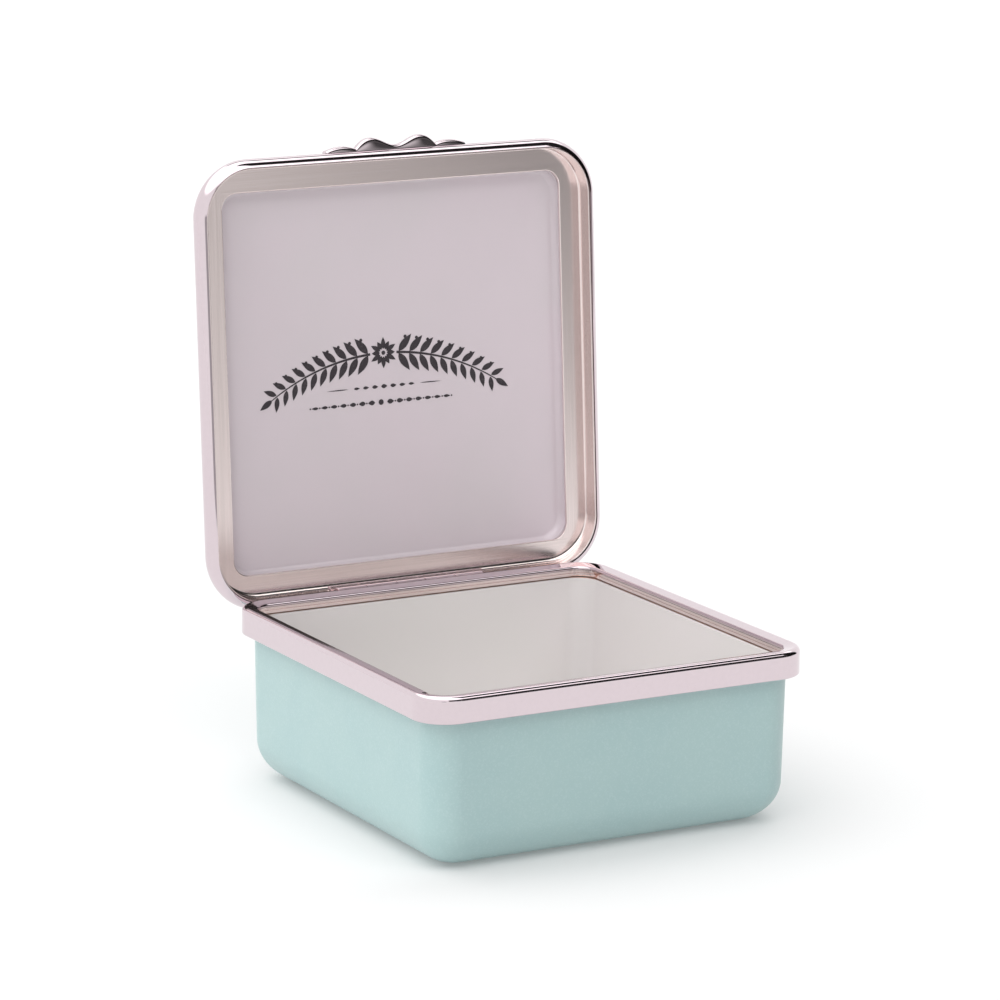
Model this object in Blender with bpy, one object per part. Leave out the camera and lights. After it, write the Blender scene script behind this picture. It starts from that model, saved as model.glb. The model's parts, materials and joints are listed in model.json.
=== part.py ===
"""Small square hinged trinket box: enamelled copper tray and lid, plated mounts, back hinge.

Built at real size in metres, +Z up, hinge at the back (+Y). The lid is drawn closed and then
turned open about the hinge pin, to the stop at which the box rests.
"""
import math

import bmesh
import bpy
from mathutils import Matrix, Vector

MM = 0.001
CORNER_STEPS = 8

# Lid position
OPEN_DEG = 94.1
AXIS_Y = 31.62
AXIS_Z = 23.78

# Base mount (plated band round the rim)
BAND_HALF = 30.0
BAND_CORNER = 5.0
BAND_LOW_Z = 21.29
BAND_CREST_Z = 25.24
BAND_INNER = 27.65
BAND_EDGE_R = 0.75
BAND_LOW_R = 0.22
BAND_LIP_R = 0.40
BAND_LAND_FALL = 0.40
BAND_LIP_DROP = 0.85
LINER_THICK = 0.40
GAP = 0.05

# Base tray
BODY_HALF_TOP = 28.53
BODY_HALF_FOOT = 28.29
BODY_CORNER = 4.5
BODY_FOOT_R = 6.0
BODY_TOP_Z = 23.30
OUTER_ENAMEL = 0.45
COPPER = 0.50
INNER_ENAMEL = 0.40
LAYER_GAP = 0.01
FOOT_CORNER_SHARE = 0.55
FOOT_STEPS = 6

# Lid mount (round bead) and its brushed inner frame
BEAD_CENTRE = 30.55
BEAD_CENTRE_Z = 24.30
BEAD_R = 1.85
BEAD_CORNER = 8.4
LID_WALL = 30.95
LID_WALL_THICK = 0.26
LID_WALL_CORNER = 7.0
LID_COVE_R = 0.90
LID_FLANGE_Z = 25.32
LID_FLANGE_THICK = 0.44
LID_OPENING = 27.50
LID_OPENING_CORNER = 2.3

# Lid tray
LID_PAN_INNER = 27.90
LID_PAN_CORNER = 4.2
LID_PAN_LOW_Z = 25.86
LID_PAN_TOP_Z = 27.35
LID_DOME_RISE = 0.60
LID_PAN_FILLET = 1.10

# Hinge
KNUCKLE_R = 1.15
KNUCKLE_BORE_R = 0.52
PIN_R = 0.46
KNUCKLE_ENDS = (-12.0, -7.3, -2.35, 2.35, 7.3, 12.0)
KNUCKLE_GAP = 0.05
KNUCKLE_NAMES = (
    "base_knuckle_left",
    "lid_knuckle_left",
    "base_knuckle_centre",
    "lid_knuckle_right",
    "base_knuckle_right",
)
SLOT_HALF = 12.75
SLOT_TOP_Z = 25.25

# Thumb-piece
THUMB_LOW_Z = 24.05
THUMB_TOP_Z = 25.45
THUMB_END = 11.3


def clear_scene():
    """Empty the file."""
    for obj in list(bpy.data.objects):
        bpy.data.objects.remove(obj, do_unlink=True)


def finish_material(name, colour, metallic, roughness):
    """A plain Principled material."""
    material = bpy.data.materials.new(name)
    material.use_nodes = True
    shader = material.node_tree.nodes["Principled BSDF"]
    shader.inputs["Base Color"].default_value = (*colour, 1.0)
    shader.inputs["Metallic"].default_value = metallic
    shader.inputs["Roughness"].default_value = roughness
    return material


def rounded_square(half, corner, z):
    """One loop of a rounded square, as points in millimetres, turning anticlockwise."""
    radius = max(corner, 0.3)
    points = []
    for quarter in range(4):
        start = quarter * math.pi / 2.0
        sign_x = 1.0 if quarter in (0, 3) else -1.0
        sign_y = 1.0 if quarter in (0, 1) else -1.0
        for step in range(CORNER_STEPS + 1):
            angle = start + step * math.pi / 2.0 / CORNER_STEPS
            x = sign_x * (half - radius) + radius * math.cos(angle)
            y = sign_y * (half - radius) + radius * math.sin(angle)
            points.append((x, y, z))
    return points


def arc(centre_a, centre_z, radius, start_deg, end_deg, steps):
    """Profile points along an arc, in the plane of distance from the axis and height."""
    points = []
    for step in range(steps + 1):
        angle = math.radians(start_deg + (end_deg - start_deg) * step / steps)
        a = centre_a + radius * math.cos(angle)
        z = centre_z + radius * math.sin(angle)
        points.append((a, z))
    return points


def solid_from(name, rings, faces, material, smooth_deg):
    """Turn loops of points and faces into a named, smooth-shaded object."""
    mesh = bpy.data.meshes.new(name)
    builder = bmesh.new()
    verts = [builder.verts.new(Vector(point) * MM) for ring in rings for point in ring]
    for face in faces:
        builder.faces.new([verts[index] for index in face])
    bmesh.ops.recalc_face_normals(builder, faces=builder.faces)
    builder.to_mesh(mesh)
    builder.free()
    for polygon in mesh.polygons:
        polygon.use_smooth = True
    mesh.set_sharp_from_angle(angle=math.radians(smooth_deg))
    mesh.materials.append(material)
    obj = bpy.data.objects.new(name, mesh)
    bpy.context.collection.objects.link(obj)
    return obj


def loft(name, rings, material, closed, smooth_deg=35.0):
    """Join equal loops in order, either as a ring or as a solid capped at both ends."""
    count = len(rings[0])
    faces = []
    last = len(rings) if closed else len(rings) - 1
    for row in range(last):
        low = row * count
        high = (row + 1) % len(rings) * count
        for column in range(count):
            after = (column + 1) % count
            faces.append((low + column, low + after, high + after, high + column))
    if not closed:
        faces.append(tuple(range(count)))
        faces.append(tuple(range((len(rings) - 1) * count, len(rings) * count)))
    return solid_from(name, rings, faces, material, smooth_deg)


def ring_along_square(name, profile, corner_half, corner, material):
    """Carry a closed profile round a rounded square whose corners stay concentric."""
    rings = []
    for a, z in profile:
        rings.append(rounded_square(a, corner + a - corner_half, z))
    return loft(name, rings, material, closed=True)


def tray_surface(inset):
    """Loops down one face of the tray, inset millimetres in from the outside."""
    half_foot = BODY_HALF_FOOT - inset
    corner = BODY_CORNER - inset
    foot_r = BODY_FOOT_R - inset
    bend_z = inset + foot_r
    loops = [rounded_square(BODY_HALF_TOP - inset, corner, BODY_TOP_Z)]
    loops.append(rounded_square(half_foot, corner, bend_z))
    for a, z in arc(half_foot - foot_r, bend_z, foot_r, 0.0, -90.0, FOOT_STEPS)[1:]:
        shrink = half_foot - a
        loops.append(rounded_square(a, max(corner - shrink * FOOT_CORNER_SHARE, 1.2), z))
    return loops


def tray(name, inset, thick, material):
    """One layer of the base tray, starting inset millimetres in from the outside."""
    rings = tray_surface(inset)[::-1] + tray_surface(inset + thick)
    return loft(name, rings, material, closed=False)


def base_tray(materials):
    """Outer enamel, copper and inner enamel of the tray."""
    tray("base_outer_enamel", 0.0, OUTER_ENAMEL - LAYER_GAP, materials["turquoise_enamel"])
    tray("base_copper_tray", OUTER_ENAMEL, COPPER - LAYER_GAP, materials["copper"])
    tray("base_inner_enamel", OUTER_ENAMEL + COPPER, INNER_ENAMEL, materials["ivory_enamel"])


def base_mount(materials):
    """The plated band that clasps the rim, with its land falling gently inwards."""
    skirt = BODY_HALF_TOP + 0.07
    seat_z = BODY_TOP_Z + 0.10
    liner_out = BAND_INNER + LINER_THICK
    leg = liner_out + GAP
    lip_z = BAND_CREST_Z - BAND_LIP_DROP
    low_centre = BAND_HALF - BAND_LOW_R
    edge_centre = BAND_HALF - BAND_EDGE_R
    lip_centre = BAND_INNER + BAND_LIP_R
    land_z = BAND_CREST_Z - BAND_LAND_FALL
    profile = [(skirt, BAND_LOW_Z), (low_centre, BAND_LOW_Z)]
    profile += arc(low_centre, BAND_LOW_Z + BAND_LOW_R, BAND_LOW_R, -60.0, 0.0, 2)
    profile += arc(edge_centre, BAND_CREST_Z - BAND_EDGE_R, BAND_EDGE_R, 0.0, 90.0, 6)
    profile += [(lip_centre, land_z)]
    profile += arc(lip_centre, land_z - BAND_LIP_R, BAND_LIP_R, 110.0, 180.0, 3)
    profile += [(BAND_INNER, lip_z), (leg, lip_z), (leg, seat_z), (skirt, seat_z)]
    ring_along_square("base_mount_band", profile, BAND_HALF, BAND_CORNER, materials["plated_mount"])
    collar = [
        (BAND_INNER, seat_z),
        (liner_out, seat_z),
        (liner_out, lip_z - GAP),
        (BAND_INNER, lip_z - GAP),
    ]
    ring_along_square("base_inner_collar", collar, BAND_HALF, BAND_CORNER, materials["satin_plate"])


def block_rings(low, high):
    """The two end loops of a box between two corners."""
    rings = []
    for x in (low[0], high[0]):
        ring = [(x, low[1], low[2]), (x, high[1], low[2])]
        ring += [(x, high[1], high[2]), (x, low[1], high[2])]
        rings.append(ring)
    return rings


def slot_cutter(material):
    """A hidden block that clears the hinge from the back of the lid's mount."""
    low = (-SLOT_HALF, LID_WALL - 0.6, 21.5)
    high = (SLOT_HALF, 34.0, SLOT_TOP_Z)
    cutter = loft("cutter_hinge_slot", block_rings(low, high), material, closed=False)
    cutter.hide_render = True
    cutter.display_type = "WIRE"
    return cutter


def cut(obj, cutter):
    """Take the cutter away from a solid."""
    modifier = obj.modifiers.new("slot", "BOOLEAN")
    modifier.operation = "DIFFERENCE"
    modifier.solver = "EXACT"
    modifier.object = cutter


def lid_mount(materials, cutter):
    """The round plated bead and the brushed L-shaped frame inside it, both slotted at the back."""
    seat = LID_WALL + LID_WALL_THICK + GAP
    reach = math.degrees(math.acos((seat + 0.12 - BEAD_CENTRE) / BEAD_R))
    bead = arc(BEAD_CENTRE, BEAD_CENTRE_Z, BEAD_R, -reach, 90.0, 14)
    low_z = bead[0][1]
    shelf_z = LID_FLANGE_Z + LID_FLANGE_THICK + GAP
    pocket = LID_PAN_INNER + INNER_ENAMEL + COPPER + OUTER_ENAMEL + 0.06
    bead_top = BEAD_CENTRE_Z + BEAD_R
    bead += [(pocket + 0.10, bead_top), (pocket, bead_top - 0.10)]
    bead += [(pocket, shelf_z), (seat, shelf_z), (seat, low_z + 0.10)]
    plate = materials["plated_mount"]
    band = ring_along_square("lid_mount_bead", bead, BEAD_CENTRE + BEAD_R, BEAD_CORNER, plate)
    wall_out = LID_WALL + LID_WALL_THICK
    wall_low = low_z + 0.12
    flange_top = LID_FLANGE_Z + LID_FLANGE_THICK
    frame = [
        (LID_WALL, wall_low, LID_WALL_CORNER),
        (wall_out, wall_low, LID_WALL_CORNER + LID_WALL_THICK),
        (wall_out, flange_top, LID_WALL_CORNER + LID_WALL_THICK),
        (LID_OPENING + 0.10, flange_top, LID_OPENING_CORNER + 0.10),
        (LID_OPENING, flange_top - 0.10, LID_OPENING_CORNER),
        (LID_OPENING, LID_FLANGE_Z + 0.14, LID_OPENING_CORNER),
        (LID_OPENING + 0.14, LID_FLANGE_Z, LID_OPENING_CORNER + 0.14),
    ]
    for a, z in arc(LID_WALL - LID_COVE_R, LID_FLANGE_Z - LID_COVE_R, LID_COVE_R, 90.0, 0.0, 4):
        frame.append((a, z, LID_WALL_CORNER + a - LID_WALL))
    rings = [rounded_square(a, corner, z) for a, z, corner in frame]
    inner = loft("lid_inner_frame", rings, materials["satin_plate"], closed=True)
    cut(band, cutter)
    cut(inner, cutter)
    return [band, inner]


def pan_surface(offset):
    """Loops up one face of the lid's shallow pan, offset millimetres out from the inside."""
    half = LID_PAN_INNER + offset
    fillet = LID_PAN_FILLET + offset
    top_z = LID_PAN_TOP_Z + offset
    corner = LID_PAN_CORNER + offset
    loops = [rounded_square(half, corner, LID_PAN_LOW_Z)]
    for a, z in arc(half - fillet, top_z - fillet, fillet, 0.0, 84.0, 4):
        loops.append(rounded_square(a, max(corner - (half - a), 1.5), z))
    edge = half - fillet
    for share in (0.94, 0.80, 0.60, 0.35, 0.12):
        a = edge * share
        rise = LID_DOME_RISE * math.cos(share * math.pi / 2.0)
        loops.append(rounded_square(a, 3.0 + (1.0 - share) * a * 0.5, top_z + rise))
    return loops


def pan(name, offset, thick, material):
    """One layer of the lid's pan."""
    rings = pan_surface(offset)[::-1] + pan_surface(offset + thick)
    return loft(name, rings, material, closed=False)


def lid_pan(materials):
    """Inner enamel, copper and outer enamel of the lid."""
    return [
        pan("lid_inner_enamel", 0.0, INNER_ENAMEL - LAYER_GAP, materials["grey_enamel"]),
        pan("lid_copper_plate", INNER_ENAMEL, COPPER - LAYER_GAP, materials["copper"]),
        pan("lid_outer_enamel", INNER_ENAMEL + COPPER, OUTER_ENAMEL, materials["turquoise_enamel"]),
    ]


def thumb_reach(x):
    """How far forward the scalloped edge of the thumb-piece stands at x."""
    side = abs(x)
    if side <= 4.0:
        return 33.00 + 1.20 * (1.0 - math.cos(math.pi * side / 4.0)) / 2.0
    if side <= 6.45:
        return 34.20 - 1.40 * ((side - 4.0) / 2.45) ** 2
    if side <= 8.6:
        return 33.20 - 0.40 * ((8.6 - side) / 2.15) ** 2
    return 33.20 - 0.60 * ((side - 8.6) / 2.9) ** 2


def thumb_piece(materials):
    """The scalloped tongue on the front of the lid, shaped to the bead behind it."""
    levels = (
        (THUMB_LOW_Z, 0.14),
        (THUMB_LOW_Z + 0.14, 0.0),
        (THUMB_TOP_Z - 0.14, 0.0),
        (THUMB_TOP_Z, 0.14),
    )
    columns = [-THUMB_END + 2.0 * THUMB_END * step / 64 for step in range(65)]
    rings = []
    for x in columns:
        ring = []
        for z, ease in levels:
            ring.append((x, -(thumb_reach(x) - ease), z))
        for step in range(6):
            z = THUMB_TOP_Z + (THUMB_LOW_Z - THUMB_TOP_Z) * step / 5
            drop = z - BEAD_CENTRE_Z
            back = BEAD_CENTRE + math.sqrt((BEAD_R + 0.06) ** 2 - drop * drop)
            ring.append((x, -back, z))
        rings.append(ring)
    return [loft("thumb_piece", rings, materials["plated_mount"], closed=False)]


def tube(name, start, end, outer, bore, material):
    """A hinge knuckle lying along X on the hinge pin."""
    rings = []
    bevel = 0.08
    for x, radius in (
        (start + bevel, outer),
        (end - bevel, outer),
        (end, outer - bevel),
        (end, bore),
        (start, bore),
        (start, outer - bevel),
    ):
        ring = []
        for step in range(24):
            angle = 2.0 * math.pi * step / 24
            y = AXIS_Y + radius * math.cos(angle)
            z = AXIS_Z + radius * math.sin(angle)
            ring.append((x, y, z))
        rings.append(ring)
    return loft(name, rings, material, closed=True)


def hinge_pin(materials):
    """The pin, with a small peened head at each end."""
    rings = []
    shape = ((-12.42, 0.40), (-12.34, 0.62), (-12.08, 0.70), (-12.06, PIN_R), (12.06, PIN_R))
    for x, radius in shape + ((12.08, 0.70), (12.34, 0.62), (12.42, 0.40)):
        ring = []
        for step in range(24):
            angle = 2.0 * math.pi * step / 24
            ring.append((x, AXIS_Y + radius * math.cos(angle), AXIS_Z + radius * math.sin(angle)))
        rings.append(ring)
    loft("hinge_pin", rings, materials["plated_mount"], closed=False)


def strip(name, low, high, material):
    """A plain rectangular strip between two corners."""
    return loft(name, block_rings(low, high), material, closed=False, smooth_deg=20.0)


def hinge(materials):
    """Base leaf and knuckles, lid leaf and knuckles, and the pin. Returns the lid's pieces."""
    plate = materials["plated_mount"]
    near = BAND_HALF + 0.04
    strip("base_hinge_leaf", (-12.0, near, 22.75), (12.0, AXIS_Y - KNUCKLE_R - GAP, 24.85), plate)
    moving = []
    for index, name in enumerate(KNUCKLE_NAMES):
        start = KNUCKLE_ENDS[index] + KNUCKLE_GAP
        end = KNUCKLE_ENDS[index + 1] - KNUCKLE_GAP
        piece = tube(name, start, end, KNUCKLE_R, KNUCKLE_BORE_R, plate)
        if name.startswith("lid"):
            moving.append(piece)
    low = (-12.0, AXIS_Y - 0.35, AXIS_Z + KNUCKLE_R + 0.03)
    high = (12.0, AXIS_Y + 0.45, SLOT_TOP_Z - 0.03)
    moving.append(strip("lid_hinge_leaf", low, high, plate))
    hinge_pin(materials)
    return moving


def open_lid(pieces, cutter):
    """Give every lid piece the hinge as its origin and turn it back to the open stop."""
    pivot = Vector((0.0, AXIS_Y * MM, AXIS_Z * MM))
    turn = Matrix.Rotation(math.radians(-OPEN_DEG), 4, "X")
    for obj in pieces + [cutter]:
        obj.data.transform(Matrix.Translation(-pivot))
        obj.matrix_world = Matrix.Translation(pivot) @ turn


def main():
    """Build every piece, then open the lid."""
    clear_scene()
    materials = {
        "turquoise_enamel": finish_material("turquoise_enamel", (0.37, 0.55, 0.53), 0.0, 0.35),
        "ivory_enamel": finish_material("ivory_enamel", (0.66, 0.64, 0.60), 0.0, 0.25),
        "grey_enamel": finish_material("grey_enamel", (0.58, 0.52, 0.55), 0.0, 0.25),
        "copper": finish_material("copper", (0.72, 0.40, 0.28), 1.0, 0.40),
        "plated_mount": finish_material("plated_mount", (0.80, 0.74, 0.75), 1.0, 0.06),
        "satin_plate": finish_material("satin_plate", (0.72, 0.64, 0.64), 1.0, 0.35),
    }
    base_tray(materials)
    base_mount(materials)
    cutter = slot_cutter(materials["plated_mount"])
    moving = lid_mount(materials, cutter)
    moving += lid_pan(materials)
    moving += thumb_piece(materials)
    moving += hinge(materials)
    open_lid(moving, cutter)


main()
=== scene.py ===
"""Square hinged box: enamelled tray and lid, plated rim and bead, brushed lid frame, back hinge.

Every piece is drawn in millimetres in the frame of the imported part, with the lid closed. The lid's
pieces are then turned open about the hinge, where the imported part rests.
"""
import json
import logging
import math
from dataclasses import dataclass, field
from enum import Enum
from typing import Any, Iterable, Mapping, Sequence, Union

import bmesh
import bpy
from mathutils import Matrix, Vector


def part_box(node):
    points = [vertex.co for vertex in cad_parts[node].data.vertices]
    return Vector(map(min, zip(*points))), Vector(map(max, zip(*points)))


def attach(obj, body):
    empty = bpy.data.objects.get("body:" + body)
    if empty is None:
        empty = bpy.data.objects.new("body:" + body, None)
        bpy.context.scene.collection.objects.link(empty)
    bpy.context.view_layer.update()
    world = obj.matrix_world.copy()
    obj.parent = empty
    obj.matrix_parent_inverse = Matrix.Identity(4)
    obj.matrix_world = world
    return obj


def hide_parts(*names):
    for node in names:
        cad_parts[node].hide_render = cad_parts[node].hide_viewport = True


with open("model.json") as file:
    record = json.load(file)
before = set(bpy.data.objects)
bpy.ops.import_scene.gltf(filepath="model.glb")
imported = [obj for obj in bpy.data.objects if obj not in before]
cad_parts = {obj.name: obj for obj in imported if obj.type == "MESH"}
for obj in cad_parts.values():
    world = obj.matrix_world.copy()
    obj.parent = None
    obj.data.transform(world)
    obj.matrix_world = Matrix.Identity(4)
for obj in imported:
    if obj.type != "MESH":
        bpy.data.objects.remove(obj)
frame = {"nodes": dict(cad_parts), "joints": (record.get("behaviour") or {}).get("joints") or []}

MM = 0.001
log = logging.getLogger("hinged_box")

Flat = tuple[float, float]
Point = tuple[float, float, float]
Colour = tuple[float, float, float]
Piece = bpy.types.Object
Socket = bpy.types.NodeSocket


class Part(Enum):
    """The two halves that move against each other."""

    BASE = "base"
    LID = "lid"


class Slot(Enum):
    """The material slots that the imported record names."""

    TURQUOISE = "turquoise_enamel"
    IVORY = "ivory_enamel"
    GREY = "grey_enamel"
    COPPER = "copper"
    PLATE = "plated_mount"
    SATIN = "satin_plate"


# Shader graph


@dataclass(frozen=True)
class Value:
    """A number in a shader graph that takes part in ordinary arithmetic."""

    graph: "Graph"
    socket: Socket

    def _math(self, operation: str, first: "Number", second: "Number" = 0.0) -> "Value":
        """The result of one Math node."""
        return self.graph.value("ShaderNodeMath", {"operation": operation}, {0: first, 1: second})

    def __add__(self, other: "Number") -> "Value":
        """self + other."""
        return self._math("ADD", self, other)

    __radd__ = __add__

    def __sub__(self, other: "Number") -> "Value":
        """self - other."""
        return self._math("SUBTRACT", self, other)

    def __rsub__(self, other: "Number") -> "Value":
        """other - self."""
        return self._math("SUBTRACT", other, self)

    def __mul__(self, other: "Number") -> "Value":
        """self * other."""
        return self._math("MULTIPLY", self, other)

    __rmul__ = __mul__

    def absolute(self) -> "Value":
        """The size of the number, without its sign."""
        return self._math("ABSOLUTE", self)

    def angle_against(self, other: "Number") -> "Value":
        """The angle in radians whose tangent is self / other."""
        return self._math("ARCTAN2", self, other)

    def arcsine(self) -> "Value":
        """The angle in radians whose sine is this."""
        return self._math("ARCSINE", self)

    def rising(self, start: float, end: float) -> "Value":
        """0 below start, 1 above end, and a smooth rise between them."""
        sockets = {"Value": self, "From Min": start, "From Max": end}
        return self.graph.value("ShaderNodeMapRange", {"interpolation_type": "SMOOTHSTEP"}, sockets)

    def between(self, low: float, high: float, edge: float) -> "Value":
        """A mask that is 1 from low to high and fades to 0 over edge on either side."""
        return self.rising(low - edge, low + edge) * (1.0 - self.rising(high - edge, high + edge))


Number = Union[Value, float, int]
Feed = Union[Value, Socket, float, int, Sequence[float]]
Feeds = Mapping[str | int, Feed]


class Graph:
    """A node tree that is filled from Python expressions."""

    def __init__(self, tree: bpy.types.NodeTree) -> None:
        """Starts from an empty tree."""
        self.tree = tree
        self.tree.nodes.clear()

    def node(
        self,
        kind: str,
        settings: Mapping[str, Any] | None = None,
        sockets: Feeds | None = None,
    ) -> bpy.types.Node:
        """Adds a node, sets it up, then feeds its sockets.

        Args:
            kind: The node's type, such as ShaderNodeMath.
            settings: The node's own settings.
            sockets: Values or links by socket name or number.

        Returns:
            The node.
        """
        node = self.tree.nodes.new(kind)
        for key, setting in (settings or {}).items():
            setattr(node, key, setting)
        for key, feed in (sockets or {}).items():
            self._feed(node.inputs[key], feed)
        return node

    def value(self, kind: str, settings: Mapping[str, Any], sockets: Feeds) -> Value:
        """The first result of a new node."""
        return Value(self, self.node(kind, settings, sockets).outputs[0])

    def _feed(self, socket: Socket, feed: Feed) -> None:
        """Links a socket or sets its value.

        Args:
            socket: The input socket.
            feed: What it gets.
        """
        if isinstance(feed, Value):
            feed = feed.socket
        if isinstance(feed, Socket):
            self.tree.links.new(feed, socket)
        elif isinstance(feed, (int, float)):
            socket.default_value = feed
        else:
            missing = len(socket.default_value) - len(feed)
            socket.default_value = (*feed, *[1.0] * missing)

    def place(self) -> Socket:
        """The point on the piece, in the piece's own metres."""
        return self.node("ShaderNodeTexCoord").outputs["Object"]

    def axes(self, vector: Socket) -> tuple[Value, Value, Value]:
        """The three numbers of a vector."""
        x, y, z = self.node("ShaderNodeSeparateXYZ", sockets={0: vector}).outputs
        return Value(self, x), Value(self, y), Value(self, z)

    def stretched(self, vector: Socket, scale: Point) -> Socket:
        """The vector with each axis scaled."""
        settings = {"operation": "MULTIPLY"}
        return self.node("ShaderNodeVectorMath", settings, {0: vector, 1: scale}).outputs[0]

    def noise(self, vector: Socket, per_mm: float, detail: float = 2.0) -> Value:
        """Smooth noise from 0 to 1, with so many cycles to the millimetre."""
        sockets = {"Vector": vector, "Scale": per_mm / MM, "Detail": detail}
        return self.value("ShaderNodeTexNoise", {}, sockets)

    def flakes(self, vector: Socket, per_mm: float) -> tuple[Value, Value, Value]:
        """Three numbers from 0 to 1 that each grain has for itself, with so many grains to the millimetre."""
        node = self.node("ShaderNodeTexVoronoi", sockets={"Vector": vector, "Scale": per_mm / MM})
        return self.axes(node.outputs["Color"])

    def mix(self, factor: Number, first: Feed, second: Feed) -> Socket:
        """The first colour, with as much of the second as the factor says."""
        settings = {"data_type": "RGBA"}
        return self.node("ShaderNodeMix", settings, {0: factor, 6: first, 7: second}).outputs[2]

    def bump(self, height: Value, depth: float) -> Socket:
        """The normal bent by a height from 0 to 1, where 1 is depth metres."""
        sockets = {"Strength": 1.0, "Distance": depth, "Height": height}
        return self.node("ShaderNodeBump", sockets=sockets).outputs[0]

    def finish_with(self, shader: str, output: str, sockets: Feeds) -> None:
        """Ends the graph with a shader and its output."""
        made = self.node(shader, sockets=sockets)
        self.tree.links.new(made.outputs[0], self.node(output).inputs[0])


# Finishes

MATERIALS: dict[str, bpy.types.Material] = {}


@dataclass(frozen=True)
class Finish:
    """A surface finish that becomes one material."""

    name: str
    slot: Slot | None

    def material(self) -> bpy.types.Material:
        """The finish's material, made the first time that it is asked for."""
        if self.name not in MATERIALS:
            made = MATERIALS[self.name] = bpy.data.materials.new(self.name)
            made.use_nodes = True
            graph = Graph(made.node_tree)
            graph.finish_with("ShaderNodeBsdfPrincipled", "ShaderNodeOutputMaterial", self.surface(graph))
        return MATERIALS[self.name]

    def surface(self, graph: Graph) -> Feeds:
        """What feeds the Principled shader, by socket name."""
        raise NotImplementedError


@dataclass(frozen=True)
class PearlEnamel(Finish):
    """Satin enamel with fine pearl flakes settled in it."""

    colour: Colour = (0.400, 0.560, 0.555)
    flake: Colour = (0.505, 0.650, 0.65)
    deep: Colour = (0.360, 0.525, 0.535)
    flakes_per_mm: float = 5.0

    def surface(self, graph: Graph) -> Feeds:
        """Flakes catch the light in places, and the coat is slightly uneven.

        Args:
            graph: The material's graph.

        Returns:
            The feeds by socket name.
        """
        place = graph.place()
        shine, tilt, _ = graph.flakes(place, self.flakes_per_mm)
        cloud = graph.noise(place, 0.11, 3.0)
        coat = graph.mix(cloud.rising(0.35, 0.70) * 0.35, self.colour, self.deep)
        flecked = graph.mix(shine.rising(0.55, 1.0) * 0.28, coat, self.flake)
        grain = graph.noise(place, 2.6, 2.0)
        return {
            "Base Color": flecked,
            "Metallic": 0.0,
            "Roughness": 0.33 + tilt * 0.10 + cloud * 0.04,
            "Specular IOR Level": 0.55,
            "Coat Weight": 0.25,
            "Coat Roughness": 0.22,
            "Normal": graph.bump(grain, 0.004 * MM),
        }


@dataclass(frozen=True)
class GlossEnamel(Finish):
    """Clear glossy enamel with the faint ripple of a fired glaze."""

    colour: Colour = (0.72, 0.69, 0.66)
    cloud_colour: Colour = (0.70, 0.67, 0.65)
    roughness: float = 0.16
    ripple_mm: float = 0.006

    def surface(self, graph: Graph) -> Feeds:
        """A pale ground with soft clouds, and a ripple under the gloss.

        Args:
            graph: The material's graph.

        Returns:
            The feeds by socket name.
        """
        place = graph.place()
        cloud = graph.noise(place, 0.06, 2.0)
        ripple = graph.noise(place, 0.14, 1.0)
        return {
            "Base Color": graph.mix(cloud.rising(0.3, 0.7), self.colour, self.cloud_colour),
            "Metallic": 0.0,
            "Roughness": self.roughness + cloud * 0.04,
            "Specular IOR Level": 0.5,
            "Coat Weight": 0.3,
            "Coat Roughness": 0.08,
            "Normal": graph.bump(ripple, self.ripple_mm * MM),
        }


@dataclass(frozen=True)
class PolishedPlate(Finish):
    """Bright plating, buffed by hand, so that its reflections waver a little."""

    colour: Colour = (0.695, 0.600, 0.635)
    roughness: float = 0.035
    wave_mm: float = 0.0035

    def surface(self, graph: Graph) -> Feeds:
        """A tinted mirror with slow waves and a trace of buffing haze.

        Args:
            graph: The material's graph.

        Returns:
            The feeds by socket name.
        """
        place = graph.place()
        wave = graph.noise(place, 0.16, 1.0)
        haze = graph.noise(place, 1.4, 3.0)
        hazed = tuple(0.96 * channel for channel in self.colour)
        return {
            "Base Color": graph.mix(haze.rising(0.35, 0.75) * 0.5, self.colour, hazed),
            "Metallic": 1.0,
            "Roughness": self.roughness + haze * 0.03,
            "Normal": graph.bump(wave, self.wave_mm * MM),
        }


@dataclass(frozen=True)
class SatinPlate(Finish):
    """Plating brushed along the sides of a square frame."""

    colour: Colour = (0.86, 0.750, 0.735)
    dull: Colour = (0.80, 0.695, 0.675)
    roughness: float = 0.13
    along_per_mm: float = 0.05
    across_per_mm: float = 5.0

    def surface(self, graph: Graph) -> Feeds:
        """Fine scratches run along whichever side of the frame they lie on.

        Args:
            graph: The material's graph.

        Returns:
            The feeds by socket name.
        """
        place = graph.place()
        x, y, _ = graph.axes(place)
        on_sides = (x.absolute() - y.absolute()).rising(-0.4 * MM, 0.4 * MM)
        long, fine = self.along_per_mm, self.across_per_mm
        along_x = graph.noise(graph.stretched(place, (long, fine, fine)), 1.0, 3.0)
        along_y = graph.noise(graph.stretched(place, (fine, long, fine)), 1.0, 3.0)
        scratch = along_x * (1.0 - on_sides) + along_y * on_sides
        return {
            "Base Color": graph.mix(scratch.rising(0.35, 0.65) * 0.7, self.colour, self.dull),
            "Metallic": 1.0,
            "Roughness": self.roughness + scratch * 0.10,
            "Normal": graph.bump(scratch, 0.0010 * MM),
        }


@dataclass(frozen=True)
class CopperCore(Finish):
    """The copper between the enamel layers, seen only at a chipped or cut edge."""

    colour: Colour = (0.72, 0.40, 0.28)

    def surface(self, graph: Graph) -> Feeds:
        """Warm copper with darker oxide clouds.

        Args:
            graph: The material's graph.

        Returns:
            The feeds by socket name.
        """
        cloud = graph.noise(graph.place(), 0.5, 3.0)
        return {
            "Base Color": graph.mix(cloud.rising(0.4, 0.8), self.colour, (0.45, 0.22, 0.15)),
            "Metallic": 1.0,
            "Roughness": 0.32 + cloud * 0.2,
        }


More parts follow.
